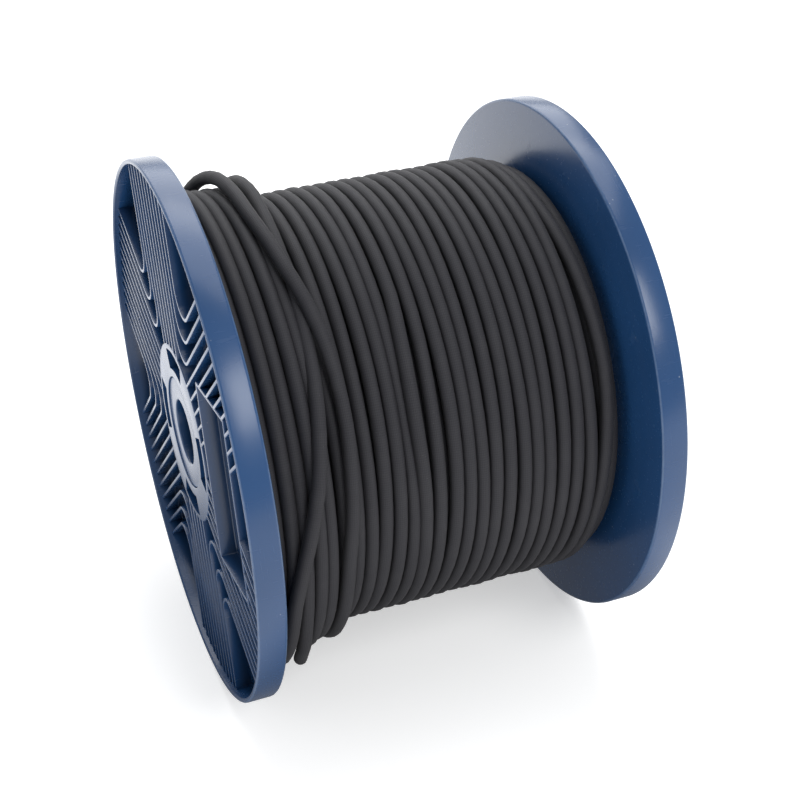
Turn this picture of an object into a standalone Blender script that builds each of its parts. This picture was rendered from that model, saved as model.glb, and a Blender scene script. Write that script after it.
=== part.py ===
"""Moulded cable reel: two ribbed flanges, a drum, a core tube with snap hooks, two arbor bushes and a wound cord.

The reel's axis is the X axis and its centre is the origin. It lies on its rims, with +Z up.
A flange is drawn in its own frame: u and v span its face, and w runs outwards from its cord side.
"""
import math

import bmesh
import bpy
from mathutils import Matrix, Vector

# Driving dimensions, in metres.
FLANGE_RADIUS = 0.150
CLEAR_WIDTH = 0.200
RIM_WIDTH = 0.015
RIM_WALL = 0.003
WEB = 0.003
RIB_RECESS = 0.003
RIB_THICKNESS = 0.0018
RIB_PITCH = 0.008
RIB_CORNER_RADIUS = 0.014
HUB_RADIUS = 0.050
BORE_RADIUS = 0.018
BUSH_WALL = 0.003
BUSH_COLLAR_RADIUS = 0.031
BUSH_COLLAR_THICKNESS = 0.0027
BUSH_RECESS = 0.0008
BUSH_SLEEVE_REACH = 0.012
CORE_RADIUS = 0.041
CORE_WALL = 0.003
BARREL_RADIUS = 0.100
BARREL_WALL = 0.003
SPIGOT_WALL = 0.003
SPIGOT_LENGTH = 0.008
SLOT_INNER_MARGIN = 0.002
SLOT_WIDTH = 0.011
LEDGE_THICKNESS = 0.004
HOOK_REACH = 0.0034
HOOK_HEIGHT = 0.0045
TONGUE_THICKNESS = 0.0022
POCKET_INNER = 0.059
POCKET_OUTER = 0.111
POCKET_HALF_LENGTH = 0.0485
CORD_DIAMETER = 0.0074
TURN_GAP = 0.00016
LOOSE_LAYER_RISE = 0.0086
ANCHOR_SLOT_LENGTH = 0.046
FIT = 0.0003

# Counts and angles.
ARM_COUNT = 6
ARM_START = math.radians(45.0)
HUB_RIBS_PER_SIDE = 2
RIBS_PER_SIDE = 5
SLOT_COUNT = 4
SLOT_START = math.radians(10.0)
SLOT_HALF_ANGLE = math.radians(20.0)
TONGUE_HALF_ANGLE = math.radians(16.5)
POCKET_ANGLE = math.radians(13.0)
LAYER_COUNT = 3
LOOSE_TURNS = 5
SUNK_TURNS = 1
ROUND_STEPS = 60
CORNER_STEPS = 5

# Sizes that follow from the driving ones.
ARM_SPACING = math.tau / ARM_COUNT
HALF_WIDTH = CLEAR_WIDTH / 2.0
RIB_TOP = RIM_WIDTH - RIB_RECESS
RIM_INNER_RADIUS = FLANGE_RADIUS - RIM_WALL
CELL_OUTER_RADIUS = RIM_INNER_RADIUS - RIM_WALL / 6.0
CORE_INNER_RADIUS = CORE_RADIUS - CORE_WALL
SLOT_INNER_RADIUS = CORE_INNER_RADIUS - SLOT_INNER_MARGIN
SLOT_OUTER_RADIUS = SLOT_INNER_RADIUS + SLOT_WIDTH
TONGUE_INNER_RADIUS = CORE_INNER_RADIUS + (CORE_WALL - TONGUE_THICKNESS) / 2.0
TONGUE_OUTER_RADIUS = TONGUE_INNER_RADIUS + TONGUE_THICKNESS
LEDGE_EDGE_RADIUS = TONGUE_OUTER_RADIUS + HOOK_REACH * 0.4
BARREL_INNER_RADIUS = BARREL_RADIUS - BARREL_WALL
SPIGOT_OUTER_RADIUS = BARREL_INNER_RADIUS - FIT
CORD_RADIUS = CORD_DIAMETER / 2.0
TURN_PITCH = CORD_DIAMETER + TURN_GAP
LAYER_RISE = TURN_PITCH * math.sin(math.radians(60.0))
WINDING_INNER_RADIUS = BARREL_RADIUS + FIT
TOP_LAYER_CENTRE = WINDING_INNER_RADIUS + CORD_RADIUS + (LAYER_COUNT - 1) * LAYER_RISE
TOP_LAYER_RADIUS = TOP_LAYER_CENTRE + CORD_RADIUS
SUNK_LAYER_RADIUS = TOP_LAYER_RADIUS - LAYER_RISE
LOOSE_LAYER_RADIUS = TOP_LAYER_RADIUS + LOOSE_LAYER_RISE
LOOSE_LAYER_END = -HALF_WIDTH + LOOSE_TURNS * TURN_PITCH
ANCHOR_ALONG = HALF_WIDTH - SPIGOT_LENGTH - CORD_DIAMETER
TAIL_ALONG = -HALF_WIDTH + 2.0 * TURN_PITCH

# Colours as linear RGB.
MOULDED_BLUE = (0.018, 0.055, 0.165, 1.0)
BUSH_BLUE = (0.022, 0.062, 0.175, 1.0)
CORD_BLACK = (0.018, 0.018, 0.020, 1.0)


def clear_scene():
    """Remove every object that the file starts with."""
    for found in list(bpy.data.objects):
        bpy.data.objects.remove(found, do_unlink=True)


def make_material(name, colour, roughness):
    """Return a Principled material of one colour."""
    material = bpy.data.materials.new(name)
    material.use_nodes = True
    shader = material.node_tree.nodes["Principled BSDF"]
    shader.inputs["Base Color"].default_value = colour
    shader.inputs["Roughness"].default_value = roughness
    shader.inputs["Metallic"].default_value = 0.0
    material.diffuse_color = colour
    return material


def polar(radius, angle):
    """Return a point of a flange's face from its radius and angle."""
    return Vector((radius * math.cos(angle), radius * math.sin(angle)))


def arc(radius, start, end, step=math.radians(6.0)):
    """Return points along a circle about the hub, both ends included."""
    count = max(1, math.ceil(abs(end - start) / step))
    return [polar(radius, start + (end - start) * index / count) for index in range(count + 1)]


def add_prism(mesh, outline, low, high):
    """Add a closed prism over a counter-clockwise outline, between two heights."""
    floor = [mesh.verts.new((point.x, point.y, low)) for point in outline]
    roof = [mesh.verts.new((point.x, point.y, high)) for point in outline]
    mesh.faces.new(list(reversed(floor)))
    mesh.faces.new(roof)
    for index in range(len(outline)):
        following = (index + 1) % len(outline)
        mesh.faces.new((floor[index], floor[following], roof[following], roof[index]))


def add_turned_ring(mesh, profile, steps=ROUND_STEPS):
    """Add a full turn of a counter-clockwise (radius, height) profile, with a facet facing each quarter."""
    rings = []
    for index in range(steps):
        angle = math.tau * (index + 0.5) / steps
        rings.append([mesh.verts.new((*polar(radius, angle), height)) for radius, height in profile])
    for index in range(steps):
        here = rings[index]
        there = rings[(index + 1) % steps]
        for corner in range(len(profile)):
            following = (corner + 1) % len(profile)
            mesh.faces.new((here[corner], here[following], there[following], there[corner]))


def add_turned_sector(mesh, profile, start, end, steps):
    """Add part of a turn of a counter-clockwise (radius, height) profile, closed at both ends."""
    rings = []
    for index in range(steps + 1):
        angle = start + (end - start) * index / steps
        rings.append([mesh.verts.new((*polar(radius, angle), height)) for radius, height in profile])
    for index in range(steps):
        here = rings[index]
        there = rings[index + 1]
        for corner in range(len(profile)):
            following = (corner + 1) % len(profile)
            mesh.faces.new((here[corner], here[following], there[following], there[corner]))
    mesh.faces.new(rings[0][::-1])
    mesh.faces.new(rings[-1])


def finish_mesh(mesh, name):
    """Turn a bmesh into a mesh whose faces point out."""
    bmesh.ops.recalc_face_normals(mesh, faces=mesh.faces)
    data = bpy.data.meshes.new(name)
    mesh.to_mesh(data)
    mesh.free()
    return data


def place(data, name, matrix, material):
    """Link a mesh as an object in its place, shaded smooth apart from its corners."""
    placed = bpy.data.objects.new(name, data)
    bpy.context.scene.collection.objects.link(placed)
    placed.matrix_world = matrix
    if material is not None:
        data.materials.clear()
        data.materials.append(material)
        data.shade_smooth()
        data.set_sharp_from_angle(angle=math.radians(30.0))
    return placed


def combine(base, operations, name):
    """Apply Boolean operations to a mesh and return the result.

    operations holds (mesh, kind) pairs, with kind DIFFERENCE or UNION.
    """
    target = place(base, name + "_base", Matrix.Identity(4), None)
    helpers = []
    for index, (data, kind) in enumerate(operations):
        helper = place(data, f"{name}_helper_{index}", Matrix.Identity(4), None)
        helper.hide_render = True
        helper.display_type = "WIRE"
        helpers.append(helper)
        modifier = target.modifiers.new(f"step_{index}", "BOOLEAN")
        modifier.operation = kind
        modifier.solver = "EXACT"
        modifier.object = helper
    bpy.context.view_layer.update()
    graph = bpy.context.evaluated_depsgraph_get()
    result = bpy.data.meshes.new_from_object(target.evaluated_get(graph))
    result.name = name
    for spent in (target, *helpers):
        bpy.data.objects.remove(spent, do_unlink=True)
    return result


def straight_cell(arm_angle, low, high):
    """Outline of the cell between two straight ribs, at offsets low and high from an arm's axis."""
    along = polar(1.0, arm_angle)
    across = polar(1.0, arm_angle + math.pi / 2.0)
    inner = []
    outer = []
    for offset in (low, (low + high) / 2.0, high):
        inner.append(along * math.sqrt(HUB_RADIUS**2 - offset**2) + across * offset)
        outer.append(along * math.sqrt(CELL_OUTER_RADIUS**2 - offset**2) + across * offset)
    return outer + inner[::-1]


def chevron_side(arm_angle, offset, rib_offset):
    """One side of a nested rib between two arms, from the rim, round its corner and back to the rim.

    offset is this side's distance from both arms' axes, and rib_offset is the rib's own middle line's.
    """
    half = ARM_SPACING / 2.0
    centre = polar((rib_offset + RIB_CORNER_RADIUS) / math.sin(half), arm_angle + half)
    radius = rib_offset + RIB_CORNER_RADIUS - offset
    reach = math.sqrt(CELL_OUTER_RADIUS**2 - offset**2)
    quarter = math.pi / 2.0
    points = [polar(reach, arm_angle) + polar(offset, arm_angle + quarter)]
    sweep = math.pi - ARM_SPACING
    for index in range(CORNER_STEPS + 1):
        points.append(centre + polar(radius, arm_angle - quarter - sweep * index / CORNER_STEPS))
    far_arm = arm_angle + ARM_SPACING
    points.append(polar(reach, far_arm) + polar(offset, far_arm - quarter))
    return points


def rim_stretch(start, end):
    """Points along the cells' outer circle strictly between two points of it."""
    first = math.atan2(start.y, start.x)
    last = math.atan2(end.y, end.x)
    turn = (last - first + math.pi) % math.tau - math.pi
    return arc(CELL_OUTER_RADIUS, first, first + turn)[1:-1]


def hub_side(arm_angle, offset):
    """The edge of the innermost cell between two arms: down one rib, round the hub and up the next rib."""
    far_arm = arm_angle + ARM_SPACING
    quarter = math.pi / 2.0
    turn = math.asin(offset / HUB_RADIUS)
    reach = math.sqrt(CELL_OUTER_RADIUS**2 - offset**2)
    points = [polar(reach, arm_angle) + polar(offset, arm_angle + quarter)]
    points += arc(HUB_RADIUS, arm_angle + turn, far_arm - turn)
    points.append(polar(reach, far_arm) + polar(offset, far_arm - quarter))
    return points


def closed_outline(near_side, far_side):
    """Join two sides of a cell along the rim, counter-clockwise."""
    outline = list(near_side)
    outline += rim_stretch(near_side[-1], far_side[-1])
    outline += far_side[::-1]
    outline += rim_stretch(far_side[0], near_side[0])
    return outline


def cell_outlines():
    """Outlines of all the hollows between the ribs, as if no label pocket was there."""
    half_rib = RIB_THICKNESS / 2.0
    outlines = []
    for arm in range(ARM_COUNT):
        angle = ARM_START + arm * ARM_SPACING
        for rib in range(-HUB_RIBS_PER_SIDE, HUB_RIBS_PER_SIDE):
            low = rib * RIB_PITCH + half_rib
            high = (rib + 1) * RIB_PITCH - half_rib
            outlines.append(straight_cell(angle, low, high))
        near_side = hub_side(angle, HUB_RIBS_PER_SIDE * RIB_PITCH + half_rib)
        for rib in range(HUB_RIBS_PER_SIDE + 1, RIBS_PER_SIDE + 1):
            middle = rib * RIB_PITCH
            far_side = chevron_side(angle, middle - half_rib, middle)
            outlines.append(closed_outline(near_side, far_side))
            near_side = chevron_side(angle, middle + half_rib, middle)
        outlines.append(near_side + rim_stretch(near_side[-1], near_side[0]))
    return outlines


def pocket_outline(margin):
    """Outline of the label pocket, grown by a margin."""
    along = polar(1.0, POCKET_ANGLE)
    across = polar(1.0, POCKET_ANGLE + math.pi / 2.0)
    low = POCKET_INNER - margin
    high = POCKET_OUTER + margin
    side = POCKET_HALF_LENGTH + margin
    corners = ((low, -side), (high, -side), (high, side), (low, side))
    return [along * radial + across * sideways for radial, sideways in corners]


def flange_mesh():
    """The flange: rim, web, hub and drum spigot turned in one, then hollowed between its ribs."""
    seat_radius = BUSH_COLLAR_RADIUS + FIT
    seat_floor = RIB_TOP - BUSH_RECESS - BUSH_COLLAR_THICKNESS - FIT
    bush_hole_radius = BORE_RADIUS + BUSH_WALL + FIT
    spigot_inner_radius = SPIGOT_OUTER_RADIUS - SPIGOT_WALL
    profile = (
        (bush_hole_radius, 0.0),
        (spigot_inner_radius, 0.0),
        (spigot_inner_radius, -SPIGOT_LENGTH),
        (SPIGOT_OUTER_RADIUS, -SPIGOT_LENGTH),
        (SPIGOT_OUTER_RADIUS, 0.0),
        (FLANGE_RADIUS, 0.0),
        (FLANGE_RADIUS, RIM_WIDTH),
        (RIM_INNER_RADIUS, RIM_WIDTH),
        (RIM_INNER_RADIUS, RIB_TOP),
        (seat_radius, RIB_TOP),
        (seat_radius, seat_floor),
        (bush_hole_radius, seat_floor),
    )
    body = bmesh.new()
    add_turned_ring(body, profile)

    cells = bmesh.new()
    for outline in cell_outlines():
        add_prism(cells, outline, WEB, RIM_WIDTH)
    pocket_block = bmesh.new()
    add_prism(pocket_block, pocket_outline(RIB_THICKNESS), -WEB, RIM_WIDTH + WEB)
    cells_data = combine(
        finish_mesh(cells, "cells"), [(finish_mesh(pocket_block, "pocket_block"), "DIFFERENCE")], "cells_clear"
    )
    pocket = bmesh.new()
    add_prism(pocket, pocket_outline(0.0), WEB, RIM_WIDTH + WEB)

    slots = bmesh.new()
    shoulder = (
        (SLOT_INNER_RADIUS, -WEB),
        (LEDGE_EDGE_RADIUS, -WEB),
        (LEDGE_EDGE_RADIUS, LEDGE_THICKNESS),
        (SLOT_OUTER_RADIUS, LEDGE_THICKNESS),
        (SLOT_OUTER_RADIUS, RIM_WIDTH),
        (SLOT_INNER_RADIUS, RIM_WIDTH),
    )
    for slot in range(SLOT_COUNT):
        angle = SLOT_START + slot * math.tau / SLOT_COUNT
        add_turned_sector(slots, shoulder, angle - SLOT_HALF_ANGLE, angle + SLOT_HALF_ANGLE, 6)
    cuts = [
        (cells_data, "DIFFERENCE"),
        (finish_mesh(pocket, "pocket"), "DIFFERENCE"),
        (finish_mesh(slots, "slots"), "DIFFERENCE"),
    ]
    return combine(finish_mesh(body, "flange_body"), cuts, "flange")


def bush_mesh():
    """The arbor bush: a collar in the hub's seat and a sleeve that lines the axle's way."""
    collar_face = RIB_TOP - BUSH_RECESS
    collar_back = collar_face - BUSH_COLLAR_THICKNESS
    profile = (
        (BORE_RADIUS, -BUSH_SLEEVE_REACH),
        (BORE_RADIUS + BUSH_WALL, -BUSH_SLEEVE_REACH),
        (BORE_RADIUS + BUSH_WALL, collar_back),
        (BUSH_COLLAR_RADIUS, collar_back),
        (BUSH_COLLAR_RADIUS, collar_face),
        (BORE_RADIUS, collar_face),
    )
    mesh = bmesh.new()
    add_turned_ring(mesh, profile)
    return finish_mesh(mesh, "bush")


def tube_mesh(inner, outer, half_length, name):
    """A plain tube about the reel's axis, centred on it."""
    mesh = bmesh.new()
    add_turned_ring(mesh, ((inner, -half_length), (outer, -half_length), (outer, half_length), (inner, half_length)))
    return finish_mesh(mesh, name)


def core_mesh():
    """The core tube, with snap tongues at both ends that hook behind the hub slots' ledges."""
    half_length = HALF_WIDTH - FIT
    hook_low = HALF_WIDTH + LEDGE_THICKNESS + FIT
    hook_top = hook_low + HOOK_HEIGHT
    root = half_length - CORE_WALL
    tongue = (
        (TONGUE_INNER_RADIUS, root),
        (TONGUE_OUTER_RADIUS, root),
        (TONGUE_OUTER_RADIUS, hook_low),
        (TONGUE_OUTER_RADIUS + HOOK_REACH, hook_low),
        (TONGUE_OUTER_RADIUS + HOOK_REACH, hook_low + HOOK_HEIGHT / 5.0),
        (TONGUE_OUTER_RADIUS, hook_top),
        (TONGUE_INNER_RADIUS, hook_top),
    )
    tongues = bmesh.new()
    for slot in range(SLOT_COUNT):
        angle = SLOT_START + slot * math.tau / SLOT_COUNT
        add_turned_sector(tongues, tongue, angle - TONGUE_HALF_ANGLE, angle + TONGUE_HALF_ANGLE, 5)
        mirrored = tuple((radius, -height) for radius, height in reversed(tongue))
        opposite = math.pi - angle
        add_turned_sector(tongues, mirrored, opposite - TONGUE_HALF_ANGLE, opposite + TONGUE_HALF_ANGLE, 5)
    tube = tube_mesh(CORE_INNER_RADIUS, CORE_RADIUS, half_length, "core_body")
    return combine(tube, [(finish_mesh(tongues, "tongues"), "UNION")], "core_tube")


def anchor_slot_mesh():
    """The cutter for the drum's slot beside the far flange's spigot, where the cord's inner end goes in."""
    half_turn = ANCHOR_SLOT_LENGTH / BARREL_RADIUS / 2.0
    half_slot = CORD_RADIUS + 2.0 * FIT
    inner = BARREL_INNER_RADIUS - BARREL_WALL
    outer = BARREL_RADIUS + BARREL_WALL
    low = ANCHOR_ALONG - half_slot
    high = ANCHOR_ALONG + half_slot
    mesh = bmesh.new()
    add_turned_sector(mesh, ((inner, low), (outer, low), (outer, high), (inner, high)), -half_turn, half_turn, 6)
    return finish_mesh(mesh, "anchor_slot")


def winding_mesh():
    """The outer shape of the cord's full layers, with a sunk last turn beside the far flange."""
    low = -HALF_WIDTH + FIT
    high = HALF_WIDTH - FIT
    step = high - SUNK_TURNS * TURN_PITCH
    profile = (
        (WINDING_INNER_RADIUS, low),
        (TOP_LAYER_RADIUS, low),
        (TOP_LAYER_RADIUS, step),
        (SUNK_LAYER_RADIUS, step),
        (SUNK_LAYER_RADIUS, high),
        (WINDING_INNER_RADIUS, high),
    )
    mesh = bmesh.new()
    add_turned_ring(mesh, profile)
    return finish_mesh(mesh, "cord_winding")


def loose_turns_mesh():
    """The outer shape of the last, loose turns, which lie on the full layers beside the near flange."""
    low = -HALF_WIDTH + FIT
    inner = TOP_LAYER_RADIUS + FIT
    outline = ((inner, low), (LOOSE_LAYER_RADIUS, low), (LOOSE_LAYER_RADIUS, LOOSE_LAYER_END), (inner, LOOSE_LAYER_END))
    mesh = bmesh.new()
    add_turned_ring(mesh, outline)
    return finish_mesh(mesh, "cord_loose_turns")


def smooth_route(points, spacing):
    """Points at an even spacing on a smooth curve through a route's own points."""
    padded = [points[0] * 2.0 - points[1], *points, points[-1] * 2.0 - points[-2]]
    dense = []
    for index in range(1, len(padded) - 2):
        before, start, end, after = padded[index - 1 : index + 3]
        for step in range(12):
            t = step / 12.0
            part = (end - before) * t + (before * 2.0 - start * 5.0 + end * 4.0 - after) * t**2
            part += (start * 3.0 - before - end * 3.0 + after) * t**3
            dense.append(start + part * 0.5)
    dense.append(points[-1])
    length = sum((b - a).length for a, b in zip(dense, dense[1:]))
    count = max(2, round(length / spacing))
    picked = [dense[0]]
    travelled = 0.0
    for a, b in zip(dense, dense[1:]):
        travelled += (b - a).length
        if travelled >= length * len(picked) / count and len(picked) < count:
            picked.append(b)
    picked.append(dense[-1])
    return picked


def around(along, radius, degrees):
    """A point about the reel's axis: 0 degrees is the front (-Y) and 90 degrees is the top (+Z)."""
    angle = math.radians(degrees)
    return Vector((along, -radius * math.cos(angle), radius * math.sin(angle)))


def add_cord(name, route, material):
    """A plain round tube along a route, closed at both ends."""
    curve = bpy.data.curves.new(name, "CURVE")
    curve.dimensions = "3D"
    curve.bevel_depth = CORD_RADIUS
    curve.bevel_resolution = 3
    curve.use_fill_caps = True
    points = smooth_route(route, CORD_DIAMETER * 2.0)
    spline = curve.splines.new("POLY")
    spline.points.add(len(points) - 1)
    for target, point in zip(spline.points, points):
        target.co = (*point, 1.0)
    curve.materials.append(material)
    cord = bpy.data.objects.new(name, curve)
    bpy.context.scene.collection.objects.link(cord)
    return cord


def build():
    """Make every piece of the reel."""
    clear_scene()
    near_blue = make_material("near_flange_blue", MOULDED_BLUE, 0.32)
    far_blue = make_material("far_flange_blue", MOULDED_BLUE, 0.32)
    near_bush_blue = make_material("near_bush_blue", BUSH_BLUE, 0.35)
    far_bush_blue = make_material("far_bush_blue", BUSH_BLUE, 0.35)
    barrel_blue = make_material("barrel_blue", MOULDED_BLUE, 0.4)
    core_blue = make_material("core_blue", MOULDED_BLUE, 0.4)
    winding_black = make_material("winding_black", CORD_BLACK, 0.75)
    loose_black = make_material("loose_black", CORD_BLACK, 0.75)
    tail_black = make_material("tail_black", CORD_BLACK, 0.75)
    inner_black = make_material("inner_black", CORD_BLACK, 0.75)

    # Columns are where a flange's u, v and w point: its own outward side is w.
    near_frame = Matrix(((0, 0, -1, -HALF_WIDTH), (-1, 0, 0, 0), (0, 1, 0, 0), (0, 0, 0, 1)))
    far_frame = Matrix(((0, 0, 1, HALF_WIDTH), (1, 0, 0, 0), (0, 1, 0, 0), (0, 0, 0, 1)))
    # A piece between the flanges is drawn with its length along w about the reel's centre.
    middle_frame = Matrix(((0, 0, 1, 0), (1, 0, 0, 0), (0, 1, 0, 0), (0, 0, 0, 1)))

    flange = flange_mesh()
    place(flange, "near_flange", near_frame, near_blue)
    place(flange.copy(), "far_flange", far_frame, far_blue)
    bush = bush_mesh()
    place(bush, "near_bush", near_frame, near_bush_blue)
    place(bush.copy(), "far_bush", far_frame, far_bush_blue)

    barrel = tube_mesh(BARREL_INNER_RADIUS, BARREL_RADIUS, HALF_WIDTH - FIT, "barrel")
    barrel = combine(barrel, [(anchor_slot_mesh(), "DIFFERENCE")], "barrel")
    place(barrel, "barrel", middle_frame, barrel_blue)
    place(core_mesh(), "core_tube", middle_frame, core_blue)
    place(winding_mesh(), "cord_winding", middle_frame, winding_black)
    place(loose_turns_mesh(), "cord_loose_turns", middle_frame, loose_black)

    # The free end lies on the loose layer at the front and hangs off it, almost straight down.
    lying_radius = LOOSE_LAYER_RADIUS + FIT + CORD_RADIUS
    tail = [
        around(TAIL_ALONG + 0.0002, lying_radius, -2.0),
        around(TAIL_ALONG, lying_radius, -12.0),
        around(TAIL_ALONG + 0.0006, lying_radius + 0.0002, -22.0),
        around(TAIL_ALONG + 0.0020, lying_radius + 0.0008, -32.0),
        around(TAIL_ALONG + 0.0038, lying_radius + 0.0020, -42.0),
    ]
    add_cord("cord_tail", tail, tail_black)

    # The inner end dips through the drum's slot from under the first turns.
    under_radius = BARREL_RADIUS - CORD_RADIUS
    inner_end = [
        around(ANCHOR_ALONG, under_radius, 176.0),
        around(ANCHOR_ALONG, under_radius - 0.0008, 180.0),
        around(ANCHOR_ALONG, under_radius - 0.0040, 188.0),
        around(ANCHOR_ALONG, under_radius - 0.0095, 198.0),
        around(ANCHOR_ALONG, under_radius - 0.0150, 210.0),
    ]
    add_cord("cord_inner_end", inner_end, inner_black)


build()
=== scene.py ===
"""Looks of a moulded cable reel that lies on its rims, wound with black braided cord.

The reel's axis is X, its centre is the origin and +Z is up. A flange is modelled in its own frame, in which
x and y span its face and z runs outwards from its cord side, and is then turned to its end of the reel.
"""

import logging
import math
from dataclasses import dataclass
from enum import Enum
from typing import Any, Callable, Iterable, Sequence

import bmesh
import bpy
import numpy as np
from mathutils import Matrix, Vector


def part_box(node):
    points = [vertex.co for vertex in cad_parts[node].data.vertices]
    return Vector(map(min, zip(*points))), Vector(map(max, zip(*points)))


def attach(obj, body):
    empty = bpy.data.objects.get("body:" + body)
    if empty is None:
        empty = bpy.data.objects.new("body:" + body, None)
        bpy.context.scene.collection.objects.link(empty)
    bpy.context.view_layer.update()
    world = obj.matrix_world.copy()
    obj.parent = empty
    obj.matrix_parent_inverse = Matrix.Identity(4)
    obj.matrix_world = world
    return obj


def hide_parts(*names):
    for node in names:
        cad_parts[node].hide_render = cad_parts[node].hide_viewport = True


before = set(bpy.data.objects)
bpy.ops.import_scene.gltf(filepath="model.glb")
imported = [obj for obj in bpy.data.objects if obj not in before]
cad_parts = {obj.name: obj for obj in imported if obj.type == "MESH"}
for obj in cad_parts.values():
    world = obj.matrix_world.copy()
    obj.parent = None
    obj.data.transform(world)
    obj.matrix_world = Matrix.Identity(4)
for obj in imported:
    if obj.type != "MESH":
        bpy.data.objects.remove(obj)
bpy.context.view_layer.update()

LOG = logging.getLogger("cable_reel")
Colour = tuple[float, float, float, float]
Station = tuple[float, float, float]
ORIGIN = (0.0, 0.0, 0.0)
WHITE = (1.0, 1.0, 1.0, 1.0)
MILLIMETRES = 1000.0  # in a metre
# Points nearer than MERGE are one, and heights nearer than NEARLY are the same, in metres.
MERGE = 0.00001
NEARLY = 0.00002


class End(Enum):
    """The two ends of the reel, by the way that their flange faces along X."""

    NEAR = -1
    FAR = 1

    @property
    def label(self) -> str:
        """The end's name, as the nodes spell it."""
        return self.name.lower()

    def placing(self, clear_width: float) -> Matrix:
        """Return the matrix that turns a flange's own frame to this end of the reel.

        Args:
            clear_width: the distance between the two flanges.

        Returns:
            The matrix.
        """
        way = float(self.value)
        half = clear_width / 2.0
        return Matrix(((0, 0, way, way * half), (way, 0, 0, 0), (0, 1, 0, 0), (0, 0, 0, 1)))


# ---------------------------------------------------------------- shader maths


class Signal:
    """A node's output with arithmetic, so that shader maths reads as an expression."""

    def __init__(self, graph: "Graph", socket: bpy.types.NodeSocket) -> None:
        """Wrap a socket of a graph."""
        self.graph = graph
        self.socket = socket

    def __add__(self, other: "Term") -> "Signal":
        """Return the sum."""
        return self.graph.maths("ADD", self, other)

    __radd__ = __add__

    def __sub__(self, other: "Term") -> "Signal":
        """Return the difference."""
        return self.graph.maths("SUBTRACT", self, other)

    def __rsub__(self, other: "Term") -> "Signal":
        """Return a number minus this."""
        return self.graph.maths("SUBTRACT", other, self)

    def __mul__(self, other: "Term") -> "Signal":
        """Return the product."""
        return self.graph.maths("MULTIPLY", self, other)

    __rmul__ = __mul__

    def sine(self) -> "Signal":
        """Return the sine, of radians."""
        return self.graph.maths("SINE", self)

    def step(self, low: float, high: float) -> "Signal":
        """Return a smooth step.

        Args:
            low: the value up to which it is 0.
            high: the value from which it is 1.

        Returns:
            The step.
        """
        node = self.graph.node(
            "ShaderNodeMapRange",
            {"interpolation_type": "SMOOTHSTEP"},
            {"Value": self, "From Min": low, "From Max": high},
        )
        return Signal(self.graph, node.outputs["Result"])


Term = Signal | float


class Graph:
    """A material's node tree, built from expressions."""

    def __init__(self, name: str) -> None:
        """Make a material with its Principled shader.

        Args:
            name: the material's name.
        """
        self.material = bpy.data.materials.new(name)
        self.material.use_nodes = True
        self.tree = self.material.node_tree
        self.shader = self.tree.nodes["Principled BSDF"]

    def node(self, kind: str, settings: dict[str, Any], inputs: dict[str | int, Any]) -> bpy.types.Node:
        """Add any node.

        Args:
            kind: the node's type.
            settings: its properties, which are set first.
            inputs: the value or the signal for each of its sockets.

        Returns:
            The node.
        """
        made = self.tree.nodes.new(kind)
        for name, value in settings.items():
            setattr(made, name, value)
        for name, value in inputs.items():
            if isinstance(value, Signal):
                self.tree.links.new(value.socket, made.inputs[name])
            else:
                made.inputs[name].default_value = value
        return made

    def maths(self, operation: str, *terms: Term) -> Signal:
        """Return a Math node's result for one or two terms."""
        made = self.node("ShaderNodeMath", {"operation": operation}, dict(enumerate(terms)))
        return Signal(self, made.outputs[0])

    def place(self) -> Signal:
        """Return the point in the piece's own space, in metres."""
        return Signal(self, self.node("ShaderNodeTexCoord", {}, {}).outputs["Object"])

    def unwrapped(self) -> Signal:
        """Return the point of the piece's UV map."""
        return Signal(self, self.node("ShaderNodeTexCoord", {}, {}).outputs["UV"])

    def parts(self, vector: Signal) -> tuple[Signal, Signal, Signal]:
        """Return a vector's three parts."""
        outputs = self.node("ShaderNodeSeparateXYZ", {}, {"Vector": vector}).outputs
        return Signal(self, outputs[0]), Signal(self, outputs[1]), Signal(self, outputs[2])

    def stretched(self, vector: Signal, scale: tuple[float, float, float]) -> Signal:
        """Return a vector times a scale of its own along each axis."""
        made = self.node("ShaderNodeVectorMath", {"operation": "MULTIPLY"}, {0: vector, 1: scale})
        return Signal(self, made.outputs[0])

    def noise(self, vector: Signal, scale: float, detail: float, roughness: float = 0.5) -> Signal:
        """Return fractal noise from 0 to 1, with a scale in waves per unit of the vector."""
        inputs = {"Vector": vector, "Scale": scale, "Detail": detail, "Roughness": roughness}
        return Signal(self, self.node("ShaderNodeTexNoise", {}, inputs).outputs["Fac"])

    def specks(self, vector: Signal, scale: float, size: float) -> Signal:
        """Return round specks, 1 at the middle of each and 0 outside a radius in cells."""
        made = self.node("ShaderNodeTexVoronoi", {"feature": "F1"}, {"Vector": vector, "Scale": scale})
        return 1.0 - Signal(self, made.outputs["Distance"]).step(size * 0.5, size)

    def blend(self, share: Term, first: Colour | Signal, second: Colour | Signal) -> Signal:
        """Return a mix of two colours, with that share of the second."""
        made = self.node("ShaderNodeMix", {"data_type": "RGBA"}, {0: share, 6: first, 7: second})
        return Signal(self, made.outputs[2])

    def bump(self, height: Signal, distance: float, strength: float) -> Signal:
        """Return a normal bent by a height from 0 to 1, which stands for that distance in metres."""
        inputs = {"Height": height, "Distance": distance, "Strength": strength}
        return Signal(self, self.node("ShaderNodeBump", {}, inputs).outputs["Normal"])

    def feed(self, **sockets: Any) -> None:
        """Set the Principled shader's sockets.

        Args:
            **sockets: the value or the signal for each, named with underscores for spaces.
        """
        for name, value in sockets.items():
            socket = self.shader.inputs[name.replace("_", " ")]
            if isinstance(value, Signal):
                self.tree.links.new(value.socket, socket)
            else:
                socket.default_value = value


# -------------------------------------------------------------------- finishes


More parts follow.
